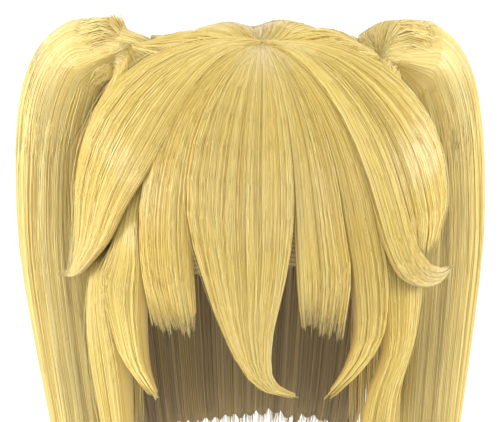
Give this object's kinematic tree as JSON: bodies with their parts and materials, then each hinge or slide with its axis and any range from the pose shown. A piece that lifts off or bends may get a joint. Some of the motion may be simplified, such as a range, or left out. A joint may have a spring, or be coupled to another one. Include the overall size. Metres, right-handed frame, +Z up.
{
  "type": "cosplay wig",
  "caption": "Long twin-tail wig: hollow cap, hair fanning from a whorl into fringe, face locks and back hair, a tail gathered in an elastic at each side",
  "frame": {"origin": "the highest point inside the hollow cap, where it sits on top of the head", "axes": "+Z up, the face side towards -Y, +X towards the side that is on the right seen from the front"},
  "size_m": [0.275, 0.2324, 0.4318],
  "materials": {
    "cap": "knitted elastic net",
    "root_hair": "straight synthetic hair in shade",
    "hair": "glossy straight synthetic hair",
    "tail_hair": "glossy straight synthetic hair",
    "elastic": "dark covered elastic"
  },
  "bodies": {
    "root": {"cap": "cap", "crown_hair": "root_hair", "back_hair": "hair", "fringe_left": "hair", "fringe_center": "hair", "fringe_right": "hair", "face_lock_left": "hair", "face_lock_right": "hair", "swept_lock_left": "hair", "swept_lock_right": "hair", "cheek_lock_right": "hair", "side_lock_left": "hair", "side_lock_right": "hair", "gather_left": "hair", "gather_right": "hair", "tail_left": "tail_hair", "tail_right": "tail_hair", "tie_left": "elastic", "tie_right": "elastic", "tuft_left": "tail_hair"}
  },
  "joints": []
}
